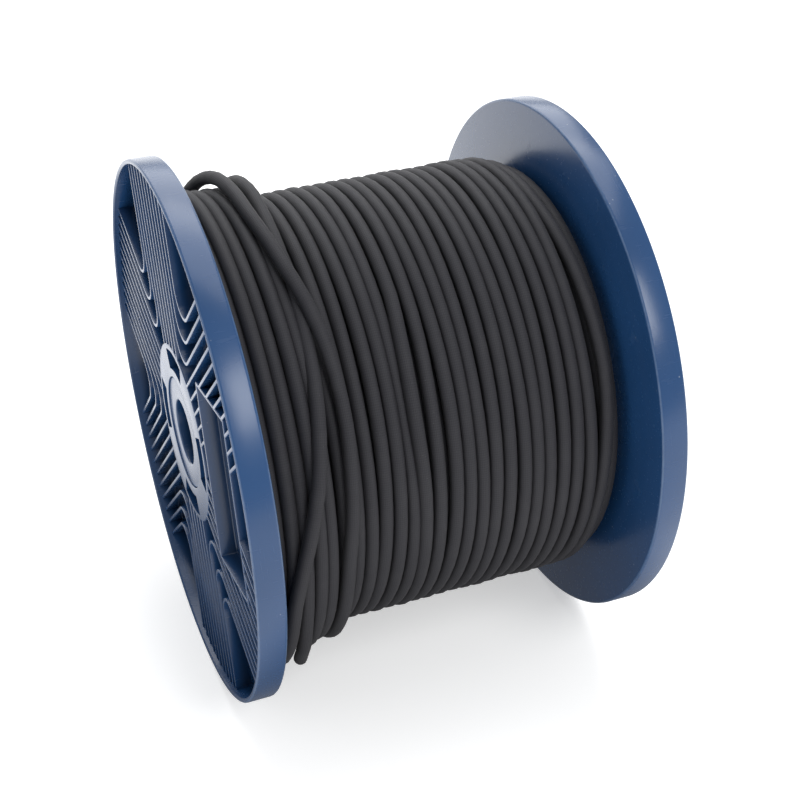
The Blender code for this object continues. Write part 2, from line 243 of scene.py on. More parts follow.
@dataclass(frozen=True)
class MouldedPlastic:
    """Glossy plastic coloured with dye, straight from the mould, a little scratched and dusty. Shade is
    painted into its recesses, and a highlight is painted along the corners of its rim, which also show wear.
    Lengths are in metres.

    Args:
        name: the material's name.
        body: the dye's colour.
        pale: the colour of the rim's corners, where wear shows and a highlight is painted.
        roughness: the clean surface's roughness.
        rubbed_radius: the distance from the reel's axis near which a corner shows wear and a painted
            highlight.
        brim: the distance from the reel's middle, along the axis, near which a corner shows wear and a
            painted highlight.
        dust: how much of the dust shows.
        lip: the distance from the reel's middle to a flange's cord side. The shaded recesses lie past it.
        rim_inner: the radius within which the recesses lie.
        recess_low: the height over the lip at which a recess is shaded fully.
        recess_high: the height over the lip at which the shade has faded.
        thin_dye: the share of the dye's colour where it is thinnest.
        recess_dye: the share of the dye's colour left in a recess, where shade is painted.
        rubbing: how far a corner turns pale with wear and with the painted highlight.
        dust_colour: the dust's colour.
        relief: the height of the surface's unevenness.
    """

    name: str
    body: Colour
    pale: Colour
    roughness: float
    rubbed_radius: float
    brim: float
    dust: float
    lip: float = 0.1002
    rim_inner: float = 0.1478
    recess_low: float = 0.0050
    recess_high: float = 0.0110
    thin_dye: float = 0.84
    recess_dye: float = 0.45
    rubbing: float = 0.45
    dust_colour: Colour = (0.52, 0.55, 0.60, 1.0)
    relief: float = 0.00005

    def dye(self, share: float) -> Colour:
        """Return the dye's colour times a share: thinner dye, and the painted shade of the recesses."""
        return (*(part * share for part in self.body[:3]), 1.0)

    def make(self) -> bpy.types.Material:
        """Build the material.

        Returns:
            The material.
        """
        graph = Graph(self.name)
        place = graph.place()
        across, deep, up = graph.parts(place)
        distance = graph.maths("SQRT", deep * deep + up * up)
        past = graph.maths("ABSOLUTE", across)
        # unevenness, scratches along the mould's turning and duller streaks
        cloud = graph.noise(place, 14.0, 2.0)
        grain = graph.noise(place, 900.0, 2.0)
        turned = graph.stretched(place, (900.0, 60.0, 60.0))
        scratches = graph.noise(turned, 1.0, 3.0, 0.65).step(0.64, 0.76)
        drawn = graph.stretched(place, (70.0, 420.0, 420.0))
        streaks = graph.noise(drawn, 1.0, 2.0, 0.6).step(0.62, 0.72)
        # the rim's two corners, paler in patches with wear and with a painted highlight along each edge
        corner = distance.step(self.rubbed_radius - 0.0009, self.rubbed_radius + 0.0002)
        brim = past.step(self.brim - 0.0010, self.brim - 0.0001)
        lip = 1.0 - past.step(self.lip, self.lip + 0.0010)
        patchy = graph.noise(place, 210.0, 4.0, 0.7).step(0.30, 0.62) * 0.6 + 0.4
        worn_and_highlit = corner * (brim + lip) * patchy
        # the recesses between the ribs, darkened by painted shade
        within = 1.0 - distance.step(self.rim_inner - 0.0006, self.rim_inner + 0.0006)
        sunk = 1.0 - past.step(self.lip + self.recess_low, self.lip + self.recess_high)
        recess = past.step(self.lip + 0.0026, self.lip + 0.0028) * sunk * within
        specks = graph.specks(place, 190.0, 0.09) * graph.noise(place, 55.0, 1.0).step(0.56, 0.62)
        uneven = graph.blend(cloud.step(0.30, 0.72), self.dye(self.thin_dye), self.body)
        # painted shade darkens the recesses
        recess_shaded = graph.blend(recess, uneven, self.dye(self.recess_dye))
        # the corners turn pale with wear and a painted highlight, and a little with the scratches
        rubbed_and_highlit = graph.blend(worn_and_highlit * self.rubbing + scratches * 0.03, recess_shaded, self.pale)
        dulled = scratches * 0.12 + streaks * 0.05 + worn_and_highlit * 0.15 - recess * 0.10
        height = grain * 0.03 + scratches * -0.08 + graph.noise(place, 60.0, 1.0) * 1.2
        graph.feed(
            Base_Color=graph.blend(specks * self.dust, rubbed_and_highlit, self.dust_colour),
            Roughness=self.roughness + (cloud - 0.5) * 0.10 + dulled,
            Normal=graph.bump(height, self.relief, 0.5),
            IOR=1.46,
            Coat_Weight=0.06,
            Coat_Roughness=0.16,
        )
        return graph.material


@dataclass(frozen=True)
class BraidedCord:
    """A matt cord with a fine braided cover, read along the cord's own UV map, with shade painted on its
    sides where the turns touch. Lengths are in metres.

    Args:
        name: the material's name.
        yarn: the cover's colour.
        crown: the colour on top of each crossing.
        carriers: the yarns that run each way round the cord.
        lay: the length in which a yarn goes once round.
        length: the cord's length, past which the cut end begins.
        soil: the colour of the soiling.
        lint: the colour of the lint.
        core: the colour of the cut end.
        relief: the height of the braid.
    """

    name: str
    yarn: Colour
    crown: Colour
    carriers: int
    lay: float
    length: float
    soil: Colour = (0.060, 0.060, 0.062, 1.0)
    lint: Colour = (0.16, 0.16, 0.17, 1.0)
    core: Colour = (0.055, 0.052, 0.050, 1.0)
    relief: float = 0.00014

    def make(self) -> bpy.types.Material:
        """Build the material.

        Returns:
            The material.
        """
        graph = Graph(self.name)
        unwrapped = graph.unwrapped()
        along, around, _ = graph.parts(unwrapped)
        turns = along * (math.tau * self.carriers / self.lay)
        strands = around * (math.tau * self.carriers)
        weave = (turns + strands).sine() * (turns - strands).sine() * 0.5 + 0.5
        fibre = graph.noise(graph.stretched(unwrapped, (900.0, 14.0, 1.0)), 1.0, 3.0, 0.65)
        place = graph.place()
        fuzz = graph.noise(place, 2600.0, 2.0, 0.7)
        soiled = graph.noise(place, 70.0, 3.0, 0.6).step(0.42, 0.75)
        linted = graph.specks(place, 420.0, 0.11) * graph.noise(place, 90.0, 1.0).step(0.55, 0.60)
        cut = along.step(self.length - 0.0002, self.length + 0.0002)
        bright = weave.step(0.10, 1.0) * 0.30 + fibre * 0.45 + (fuzz - 0.5) * 0.35 + 0.15
        # Painted shade: the sides, where one turn lies against the next, are darker than the outer face.
        painted_crease_shade = graph.maths("ABSOLUTE", around - 0.5).step(0.06, 0.25)
        cover = graph.blend(bright * (1.0 - painted_crease_shade * 0.85), self.yarn, self.crown)
        greyed = graph.blend(soiled * 0.06, cover, self.soil)
        flecked = graph.blend(linted * 0.20, greyed, self.lint)
        height = weave * 0.50 + fibre * 0.30 + fuzz * 0.25
        graph.feed(
            Base_Color=graph.blend(cut * 0.6, flecked, self.core),
            Roughness=0.58 + fibre * 0.14 + (1.0 - weave) * 0.10,
            Normal=graph.bump(height, self.relief, 0.6),
            IOR=1.38,
            Sheen_Weight=0.02,
            Sheen_Roughness=0.5,
        )
        return graph.material


# ---------------------------------------------------------------- the workbench


def deselect() -> None:
    """Leave edit mode and deselect everything."""
    if bpy.context.object is not None and bpy.context.object.mode != "OBJECT":
        bpy.ops.object.mode_set(mode="OBJECT")
    bpy.ops.object.select_all(action="DESELECT")


def activate(piece: bpy.types.Object) -> bpy.types.Object:
    """Select one object alone and make it active.

    Args:
        piece: the object.

    Returns:
        The same object.
    """
    deselect()
    piece.select_set(True)
    bpy.context.view_layer.objects.active = piece
    return piece


def pick(piece: bpy.types.Object, edges: Callable[[Vector, Vector], bool]) -> None:
    """Select edges of the active piece in edit mode.

    Args:
        piece: the piece.
        edges: tells from an edge's two ends whether it is selected.
    """
    mesh = bmesh.from_edit_mesh(piece.data)
    for vertex in mesh.verts:
        vertex.select = False
    for edge in mesh.edges:
        edge.select = edges(edge.verts[0].co, edge.verts[1].co)
    mesh.select_flush_mode()
    bmesh.update_edit_mesh(piece.data)


def pick_faces(piece: bpy.types.Object, faces: Callable[[Vector, Vector], bool]) -> None:
    """Select faces of the active piece in edit mode.

    Args:
        piece: the piece.
        faces: tells from a face's centre and normal whether it is selected.
    """
    bpy.ops.mesh.select_mode(type="FACE")
    mesh = bmesh.from_edit_mesh(piece.data)
    for face in mesh.faces:
        face.select = faces(face.calc_center_median(), face.normal)
    mesh.select_flush_mode()
    bmesh.update_edit_mesh(piece.data)


def rounded(corners: Sequence[tuple[float, float, float]], steps: int = 4) -> list[tuple[float, float]]:
    """Return a closed outline with its corners rounded.

    Args:
        corners: (radius, height, rounding) of each corner.
        steps: the steps of each rounding.

    Returns:
        The outline's points as (radius, height).
    """
    points = []
    count = len(corners)
    for index, (radius, height, rounding) in enumerate(corners):
        here = Vector((radius, height))
        before = Vector(corners[index - 1][:2]) - here
        after = Vector(corners[(index + 1) % count][:2]) - here
        if rounding <= 0.0:
            points.append((radius, height))
            continue
        half = before.angle(after) / 2.0
        reach = rounding / math.tan(half)
        centre = here + (before.normalized() + after.normalized()).normalized() * rounding / math.sin(half)
        start = here + before.normalized() * reach - centre
        end = here + after.normalized() * reach - centre
        for step in range(steps + 1):
            points.append(tuple(centre + start.slerp(end, step / steps) * rounding))
    return points


def turn_profile(name: str, profile: Sequence[tuple[float, float]], sides: int) -> bpy.types.Object:
    """Turn a closed profile about z, as a circle extruded and scaled from point to point.

    Args:
        name: the piece's name.
        profile: its (radius, height) points.
        sides: the sides of each circle.

    Returns:
        The turned piece.
    """
    deselect()
    first_radius, first_height = profile[0]
    place = (0.0, 0.0, first_height)
    bpy.ops.mesh.primitive_circle_add(vertices=sides, radius=first_radius, location=place)
    piece = bpy.context.object
    piece.name = name
    bpy.ops.object.transform_apply(location=True, rotation=False, scale=False)
    bpy.ops.object.mode_set(mode="EDIT")
    bpy.ops.mesh.select_all(action="SELECT")
    radius, height = first_radius, first_height
    for next_radius, next_height in [*profile[1:], profile[0]]:
        rise = (0.0, 0.0, next_height - height)
        bpy.ops.mesh.extrude_edges_move(TRANSFORM_OT_translate={"value": rise})
        grow = next_radius / radius
        bpy.ops.transform.resize(value=(grow, grow, 1.0), center_override=ORIGIN)
        radius, height = next_radius, next_height
    bpy.ops.mesh.select_all(action="SELECT")
    bpy.ops.mesh.remove_doubles(threshold=MERGE)
    bpy.ops.mesh.normals_make_consistent(inside=False)
    bpy.ops.object.mode_set(mode="OBJECT")
    return piece


def apply_modifier(piece: bpy.types.Object, kind: str, **settings: Any) -> None:
    """Add a modifier to a piece and apply it.

    Args:
        piece: the piece.
        kind: the modifier's type.
        **settings: its properties.
    """
    activate(piece)
    modifier = piece.modifiers.new(kind.title(), kind)
    for name, value in settings.items():
        setattr(modifier, name, value)
    bpy.ops.object.modifier_apply(modifier=modifier.name)


def cut_away(piece: bpy.types.Object, cutter: bpy.types.Object) -> None:
    """Cut a piece by another, which is used up."""
    apply_modifier(piece, "BOOLEAN", operation="DIFFERENCE", solver="EXACT", object=cutter)
    bpy.data.objects.remove(cutter, do_unlink=True)


def soften(piece: bpy.types.Object, width: float, segments: int = 3, degrees: float = 50.0) -> None:
    """Round a piece's edges that are sharper than an angle, by a width in metres."""
    settings = {"width": width, "segments": segments, "angle_limit": math.radians(degrees)}
    apply_modifier(piece, "BEVEL", limit_method="ANGLE", use_clamp_overlap=True, **settings)


def copy_turned(piece: bpy.types.Object, angle: float) -> bpy.types.Object:
    """Copy a piece, with a mesh of its own, and turn the copy about z.

    Args:
        piece: the piece.
        angle: the turn in radians.

    Returns:
        The copy.
    """
    twin = piece.copy()
    twin.data = piece.data.copy()
    bpy.context.scene.collection.objects.link(twin)
    twin.data.transform(Matrix.Rotation(angle, 4, "Z"))
    return twin


def join(pieces: Iterable[bpy.types.Object], name: str) -> bpy.types.Object:
    """Join pieces into one.

    Args:
        pieces: the pieces, which are used up.
        name: the joined piece's name.

    Returns:
        The joined piece.
    """
    gathered = list(pieces)
    activate(gathered[0])
    for piece in gathered:
        piece.select_set(True)
    bpy.ops.object.join()
    joined = bpy.context.object
    joined.name = name
    joined.data.name = name
    return joined


def shade(piece: bpy.types.Object, degrees: float = 35.0) -> None:
    """Shade a piece smooth apart from its corners."""
    activate(piece)
    bpy.ops.object.shade_smooth_by_angle(angle=math.radians(degrees))


def dress(piece: bpy.types.Object, material: bpy.types.Material) -> None:
    """Give a piece one material all over."""
    piece.data.materials.clear()
    piece.data.materials.append(material)


def settle(piece: bpy.types.Object, slot: str, *nodes: str) -> None:
    """Let a piece ride on the reel and stand for CAD nodes.

    Args:
        piece: the finished piece.
        slot: the record's material slot, which is not used.
        *nodes: the nodes that it replaces.
    """
    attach(piece, "root")
    if nodes:
        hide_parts(*nodes)
    LOG.info("%s: %d faces", piece.name, len(piece.data.polygons))


# --------------------------------------------------------------------- flanges


@dataclass
class Flange:
    """One moulded flange: rim, web, hub with snap slots, ribs and a label pocket. Lengths are in metres."""

    end: End
    radius: float = 0.150
    clear_width: float = 0.200
    rim_width: float = 0.015
    rim_wall: float = 0.003
    web: float = 0.003
    draft: float = 0.0004
    rib_recess: float = 0.003
    rib_thickness: float = 0.0018
    rib_pitch: float = 0.008
    rib_corner: float = 0.014
    rib_sink: float = 0.0012
    rib_rounding: float = 0.00032
    mouth_rounding: float = 0.0004
    overlap: float = 0.001
    hub_radius: float = 0.050
    spigot_radius: float = 0.0967
    spigot_wall: float = 0.003
    spigot_length: float = 0.008
    seat_radius: float = 0.0313
    seat_depth: float = 0.0038
    bush_hole: float = 0.0213
    slot_inner: float = 0.036
    slot_ledge: float = 0.04196
    slot_outer: float = 0.047
    ledge: float = 0.004
    pocket_inner: float = 0.059
    pocket_outer: float = 0.111
    pocket_half: float = 0.0485
    pocket_floor: float = 0.0002
    pocket_rounding: float = 0.0005
    clearing_share: float = 0.6
    arms: int = 6
    hub_ribs: int = 2
    ribs: int = 5
    slots: int = 4
    slot_steps: int = 20
    bend_steps: int = 14
    sides: int = 180
    arm_start: float = math.radians(45.0)
    pocket_angle: float = math.radians(13.0)
    slot_start: float = math.radians(10.0)
    slot_half: float = math.radians(20.0)

    @property
    def rib_top(self) -> float:
        """Height of the hub's face and of the ribs."""
        return self.rim_width - self.rib_recess

    @property
    def spacing(self) -> float:
        """Angle from arm to arm."""
        return math.tau / self.arms

    def shell(self) -> bpy.types.Object:
        """Turn the rim, the web, the hub and the spigot in one profile, with its outer corners rounded.

        Returns:
            The turned shell.
        """
        rim_inner = self.radius - self.rim_wall
        spigot_inner = self.spigot_radius - self.spigot_wall
        corners = [
            (self.bush_hole, 0.0, 0.0),
            (spigot_inner, 0.0, 0.0),
            (spigot_inner, -self.spigot_length, 0.0005),
            (self.spigot_radius, -self.spigot_length, 0.0005),
            (self.spigot_radius, 0.0, 0.0),
            (self.radius, 0.0, 0.0016),
            (self.radius, self.rim_width, 0.0014),
            (rim_inner + self.draft, self.rim_width, 0.0012),
            (rim_inner - self.draft, self.web, 0.0012),
            (self.hub_radius + self.draft, self.web, 0.0010),
            (self.hub_radius, self.rib_top, 0.0007),
            (self.seat_radius, self.rib_top, 0.0004),
            (self.seat_radius, self.rib_top - self.seat_depth, 0.0),
            (self.bush_hole, self.rib_top - self.seat_depth, 0.0),
        ]
        return turn_profile("flange_shell", rounded(corners), self.sides)

    def sector(
        self, inner: float, outer: float, low: float, high: float, middle: float
    ) -> bpy.types.Object:
        """Spin a block with two arc sides about the hub, from a flat section.

        Args:
            inner: its inner radius.
            outer: its outer radius.
            low: its lower height.
            high: its upper height.
            middle: the angle of its middle.

        Returns:
            The block.
        """
        deselect()
        centre = ((inner + outer) / 2.0, 0.0, (low + high) / 2.0)
        turned = (math.radians(90.0), 0.0, 0.0)
        bpy.ops.mesh.primitive_plane_add(size=1.0, location=centre, rotation=turned)
        block = bpy.context.object
        block.scale = (outer - inner, high - low, 1.0)
        bpy.ops.object.transform_apply(location=True, rotation=True, scale=True)
        bpy.ops.object.mode_set(mode="EDIT")
        bpy.ops.mesh.select_all(action="SELECT")
        bpy.ops.mesh.spin(
            steps=self.slot_steps, angle=2.0 * self.slot_half, center=ORIGIN, axis=(0.0, 0.0, 1.0)
        )
        bpy.ops.mesh.select_all(action="SELECT")
        bpy.ops.mesh.remove_doubles(threshold=MERGE)
        bpy.ops.mesh.normals_make_consistent(inside=False)
        bpy.ops.object.mode_set(mode="OBJECT")
        swept = math.atan2(*self.mean_direction(block)[::-1])
        block.data.transform(Matrix.Rotation(middle - swept, 4, "Z"))
        return block

    @staticmethod
    def mean_direction(block: bpy.types.Object) -> tuple[float, float]:
        """Return the mean x and y of a block's points."""
        points = [vertex.co for vertex in block.data.vertices]
        return sum(p.x for p in points) / len(points), sum(p.y for p in points) / len(points)

    def cut_slots(self, shell: bpy.types.Object) -> None:
        """Cut the four stepped snap slots through the hub, then round their mouths.

        Args:
            shell: the turned flange.
        """
        for index in range(self.slots):
            middle = self.slot_start + index * math.tau / self.slots
            through = self.sector(self.slot_inner, self.slot_ledge, -self.web, self.rim_width, middle)
            cut_away(shell, through)
            inner = self.slot_ledge - self.overlap
            wide = self.sector(inner, self.slot_outer, self.ledge, self.rim_width, middle)
            cut_away(shell, wide)
        activate(shell)
        bpy.ops.object.mode_set(mode="EDIT")
        bpy.ops.mesh.select_mode(type="EDGE")
        top = self.rib_top
        low = self.slot_inner - self.mouth_rounding
        high = self.slot_outer + self.mouth_rounding

        def mouth(start: Vector, end: Vector) -> bool:
            """Tell whether an edge runs along a slot's mouth."""
            ends = (start, end)
            return all(abs(tip.z - top) < NEARLY and low < tip.to_2d().length < high for tip in ends)

        pick(shell, mouth)
        bpy.ops.mesh.bevel(offset=self.mouth_rounding, segments=2, affect="EDGES", clamp_overlap=True)
        bpy.ops.object.mode_set(mode="OBJECT")

    def rib_reach(self, offset: float) -> float:
        """Return how far along its arm a rib runs, at a distance from the arm's axis, to end in the rim."""
        return math.sqrt((self.radius - self.rim_wall / 2.0) ** 2 - (offset + self.rib_thickness) ** 2)

    def straight_rib(self, offset: float) -> bpy.types.Object:
        """Model one straight rib along x, from the hub to the rim.

        Args:
            offset: its distance from the arm's axis.

        Returns:
            The rib.
        """
        start = math.sqrt((self.hub_radius - self.overlap) ** 2 - offset**2)
        stop = self.rib_reach(abs(offset))
        low = self.web - self.rib_sink
        deselect()
        place = ((start + stop) / 2.0, offset, (low + self.rib_top) / 2.0)
        bpy.ops.mesh.primitive_cube_add(size=1.0, location=place)
        rib = bpy.context.object
        rib.scale = (stop - start, self.rib_thickness, self.rib_top - low)
        bpy.ops.object.transform_apply(location=True, rotation=False, scale=True)
        soften(rib, self.rib_rounding, 2)
        return rib

    def nested_rib(self, offset: float) -> bpy.types.Object:
        """Model a rib that comes in along one arm, turns a round corner and goes out along the next arm.

        Args:
            offset: its distance from both arms' axes. The first arm lies along x.

        Returns:
            The rib.
        """
        half = self.spacing / 2.0
        reach = self.rib_reach(offset)
        distance = (offset + self.rib_corner) / math.sin(half)
        centre = Vector((distance * math.cos(half), distance * math.sin(half), 0.0))
        low = self.web - self.rib_sink
        height = self.rib_top - low
        deselect()
        place = (reach, offset, (low + self.rib_top) / 2.0)
        turned = (0.0, math.radians(90.0), 0.0)
        bpy.ops.mesh.primitive_plane_add(size=1.0, location=place, rotation=turned)
        rib = bpy.context.object
        rib.scale = (height, self.rib_thickness, 1.0)
        bpy.ops.object.transform_apply(location=True, rotation=True, scale=True)
        bpy.ops.object.mode_set(mode="EDIT")
        bpy.ops.mesh.select_all(action="SELECT")
        run = centre.x - reach
        bpy.ops.mesh.extrude_region_move(TRANSFORM_OT_translate={"value": (run, 0.0, 0.0)})
        sweep = math.pi - self.spacing
        bpy.ops.mesh.spin(steps=self.bend_steps, angle=sweep, center=centre, axis=(0.0, 0.0, 1.0))
        way = Vector((math.cos(self.spacing), math.sin(self.spacing), 0.0)) * -run
        bpy.ops.mesh.extrude_region_move(TRANSFORM_OT_translate={"value": way})
        bpy.ops.mesh.select_all(action="SELECT")
        bpy.ops.mesh.remove_doubles(threshold=MERGE)
        bpy.ops.mesh.normals_make_consistent(inside=False)
        bpy.ops.object.mode_set(mode="OBJECT")
        soften(rib, self.rib_rounding, 2)
        return rib

    def rib_fan(self) -> bpy.types.Object:
        """Model one arm's ribs and the nested ribs beside it, and copy them round the hub.

        Returns:
            All of the flange's ribs.
        """
        straight = range(-self.hub_ribs, self.hub_ribs + 1)
        nested = range(self.hub_ribs + 1, self.ribs + 1)
        first = [self.straight_rib(index * self.rib_pitch) for index in straight]
        first += [self.nested_rib(index * self.rib_pitch) for index in nested]
        master = join(first, "rib_fan")
        fans = [copy_turned(master, self.arm_start + arm * self.spacing) for arm in range(self.arms)]
        bpy.data.objects.remove(master, do_unlink=True)
        return join(fans, "rib_fan")

    def pocket_block(self, margin: float, low: float, high: float) -> bpy.types.Object:
        """Add a block over the label pocket, which lies along x until it is turned.

        Args:
            margin: how far it goes past the pocket on every side.
            low: its lower height.
            high: its upper height.

        Returns:
            The block.
        """
        deselect()
        inner = self.pocket_inner - margin
        outer = self.pocket_outer + margin
        place = ((inner + outer) / 2.0, 0.0, (low + high) / 2.0)
        bpy.ops.mesh.primitive_cube_add(size=1.0, location=place)
        block = bpy.context.object
        block.scale = (outer - inner, 2.0 * (self.pocket_half + margin), high - low)
        bpy.ops.object.transform_apply(location=True, rotation=False, scale=True)
        return block

    def pocket(self) -> bpy.types.Object:
        """Model the label pocket: a low wall round a flat floor.

        Returns:
            The pocket.
        """
        low = self.web - self.rib_sink
        floor = self.web + self.pocket_floor
        walls = self.pocket_block(self.rib_thickness, low, self.rib_top)
        bpy.ops.object.mode_set(mode="EDIT")
        pick_faces(walls, lambda centre, normal: normal.z > 0.9)
        bpy.ops.mesh.inset(thickness=self.rib_thickness, depth=0.0)
        drop = (0.0, 0.0, floor - self.rib_top)
        bpy.ops.mesh.extrude_region_move(TRANSFORM_OT_translate={"value": drop})
        bpy.ops.object.mode_set(mode="OBJECT")
        soften(walls, self.pocket_rounding)
        walls.data.transform(Matrix.Rotation(self.pocket_angle, 4, "Z"))
        return walls

    def build(self) -> bpy.types.Object:
        """Model the whole flange at its end of the reel.

        Returns:
            The flange.
        """
        shell = self.shell()
        self.cut_slots(shell)
        fan = self.rib_fan()
        clearing = self.pocket_block(self.rib_thickness * self.clearing_share, 0.0, self.rim_width)
        clearing.data.transform(Matrix.Rotation(self.pocket_angle, 4, "Z"))
        cut_away(fan, clearing)
        name = f"{self.end.label}_flange_moulding"
        flange = join([shell, fan, self.pocket()], name)
        flange.data.transform(self.end.placing(self.clear_width))
        shade(flange)
        return flange

    def dress(self, flange: bpy.types.Object, finish: bpy.types.Material) -> None:
        """Give the flange its plastic and let it stand for the CAD flange."""
        dress(flange, finish)
        settle(flange, "flange_blue", f"{self.end.label}_flange")


@dataclass
class Bush:
    """The arbor bush in a flange's hub. Lengths are in metres."""

    end: End
    clear_width: float = 0.200
    bore: float = 0.018
    wall: float = 0.003
    collar: float = 0.031
    collar_face: float = 0.0112
    collar_thickness: float = 0.0027
    reach: float = 0.012
    sides: int = 128

    def build(self) -> bpy.types.Object:
        """Turn the bush with a bell mouth and rounded corners, at its end of the reel.

        Returns:
            The bush.
        """
        corners = [
            (self.bore, -self.reach, 0.0006),
            (self.bore + self.wall, -self.reach, 0.0006),
            (self.bore + self.wall, self.collar_face - self.collar_thickness, 0.0),
            (self.collar, self.collar_face - self.collar_thickness, 0.0),
            (self.collar, self.collar_face, 0.0006),
            (self.bore, self.collar_face, 0.0010),
        ]
        bush = turn_profile(f"{self.end.label}_bush_turned", rounded(corners), self.sides)
        bush.data.transform(self.end.placing(self.clear_width))
        shade(bush)
        return bush

    def dress(self, bush: bpy.types.Object, finish: bpy.types.Material) -> None:
        """Give the bush its plastic and let it stand for the CAD bush."""
        dress(bush, finish)
        settle(bush, "bush_blue", f"{self.end.label}_bush")


# ------------------------------------------------------------------------ cord


def eased(stations: np.ndarray, values: np.ndarray, where: np.ndarray) -> np.ndarray:
    """Return a smooth curve through values that never overshoots them.

    Args:
        stations: where the values are, rising.
        values: the values there.
        where: the places to read.

    Returns:
        The curve at those places.
    """
    gaps = np.diff(stations)
    slopes = np.diff(values) / gaps
    tangents = np.zeros_like(values)
    tangents[0] = slopes[0]
    tangents[-1] = slopes[-1]
    same_way = slopes[:-1] * slopes[1:] > 0.0
    mean = 2.0 * slopes[:-1] * slopes[1:] / np.where(same_way, slopes[:-1] + slopes[1:], 1.0)
    tangents[1:-1] = np.where(same_way, mean, 0.0)
    index = np.clip(np.searchsorted(stations, where, side="right") - 1, 0, len(gaps) - 1)
    gap = gaps[index]
    part = (where - stations[index]) / gap
    rest = 1.0 - part
    start = values[index] * (1.0 + 2.0 * part) * rest**2 + tangents[index] * gap * part * rest**2
    end = values[index + 1] * part**2 * (3.0 - 2.0 * part)
    end += tangents[index + 1] * gap * part**2 * (part - 1.0)
    return start + end


